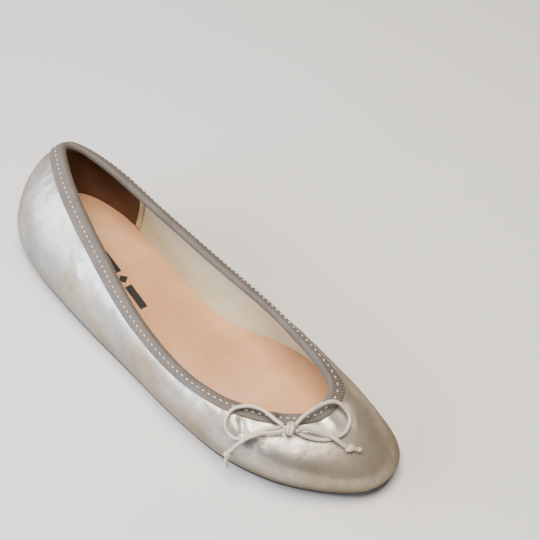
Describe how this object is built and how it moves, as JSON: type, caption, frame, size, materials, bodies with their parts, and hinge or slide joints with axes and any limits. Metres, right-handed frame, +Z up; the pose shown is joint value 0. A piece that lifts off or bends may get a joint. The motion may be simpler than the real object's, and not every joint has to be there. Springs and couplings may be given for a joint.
{
  "type": "ballet slipper",
  "caption": "Low-cut flat slipper for the right foot: soft leather upper, grosgrain-bound topline drawn in by an elastic, cord bow at the throat, padded leather sock.",
  "frame": {"origin": "centre of the slipper's bounding box, at ground level, measured without the bow's cords", "axes": "+X from heel to toe, +Y to the wearer's left (the inner side of this right shoe), +Z up from the ground"},
  "size_m": [0.2474, 0.0801, 0.059],
  "materials": {
    "outsole": "matt thermoplastic rubber sheet",
    "heel_block": "moulded microcellular rubber",
    "top_piece": "hard-wearing rubber",
    "filler": "cork and fibre filler sheet",
    "shank": "spring steel strip",
    "board": "cellulose insole board",
    "foam": "latex foam",
    "sock": "pigmented pigskin",
    "print": "printed ink",
    "upper_leather": "soft leather with a pearl foil finish",
    "stiffener": "resin-stiffened cloth",
    "backing": "knitted cotton backing",
    "lining": "cream lining leather",
    "heel_lining": "brown suede-side lining leather",
    "lining_strip": "folded lining leather",
    "binding": "ribbed grosgrain tape",
    "elastic": "covered elastic cord",
    "thread": "polyester sewing thread",
    "bow_cord": "round cord covered in thin leather"
  },
  "bodies": {
    "shoe": {"outsole": "outsole", "heel_block": "heel_block", "heel_top_piece": "top_piece", "bottom_filler": "filler", "shank": "shank", "insole_board": "board", "footbed_foam": "foam", "sock": "sock", "sock_print": "print", "upper": "upper_leather", "heel_counter": "stiffener", "toe_puff": "stiffener", "backing_lateral": "backing", "backing_medial": "backing", "lining": "lining", "heel_lining": "heel_lining", "lining_strip_lateral": "lining_strip", "lining_strip_medial": "lining_strip", "binding": "binding", "topline_elastic": "elastic", "binding_stitches": "thread", "bow_knot": "bow_cord", "bow_tack": "thread"},
    "loop_lateral": {"bow_loop_lateral": "bow_cord"},
    "loop_medial": {"bow_loop_medial": "bow_cord"},
    "tail_lateral": {"bow_tail_lateral": "bow_cord", "tail_knot_lateral": "bow_cord", "tail_stub_lateral": "bow_cord"},
    "tail_medial": {"bow_tail_medial": "bow_cord", "tail_knot_medial": "bow_cord", "tail_stub_medial": "bow_cord"}
  },
  "joints": [
    {"name": "loop_lateral_lift", "type": "hinge", "parent": "shoe", "child": "loop_lateral", "pos_m": [0.0835, -0.0161, 0.0394], "axis": [-0.7317, 0.6816, 0], "range_deg": [0, 55]},
    {"name": "loop_medial_lift", "type": "hinge", "parent": "shoe", "child": "loop_medial", "pos_m": [0.0871, -0.0123, 0.0394], "axis": [0.7317, -0.6816, 0], "range_deg": [0, 55]},
    {"name": "tail_lateral_lift", "type": "hinge", "parent": "loop_lateral", "child": "tail_lateral", "pos_m": [0.0835, -0.0161, 0.0394], "axis": [-0.7317, 0.6816, 0], "range_deg": [0, 35]},
    {"name": "tail_medial_lift", "type": "hinge", "parent": "loop_medial", "child": "tail_medial", "pos_m": [0.0871, -0.0123, 0.0394], "axis": [0.7317, -0.6816, 0], "range_deg": [0, 35]}
  ]
}
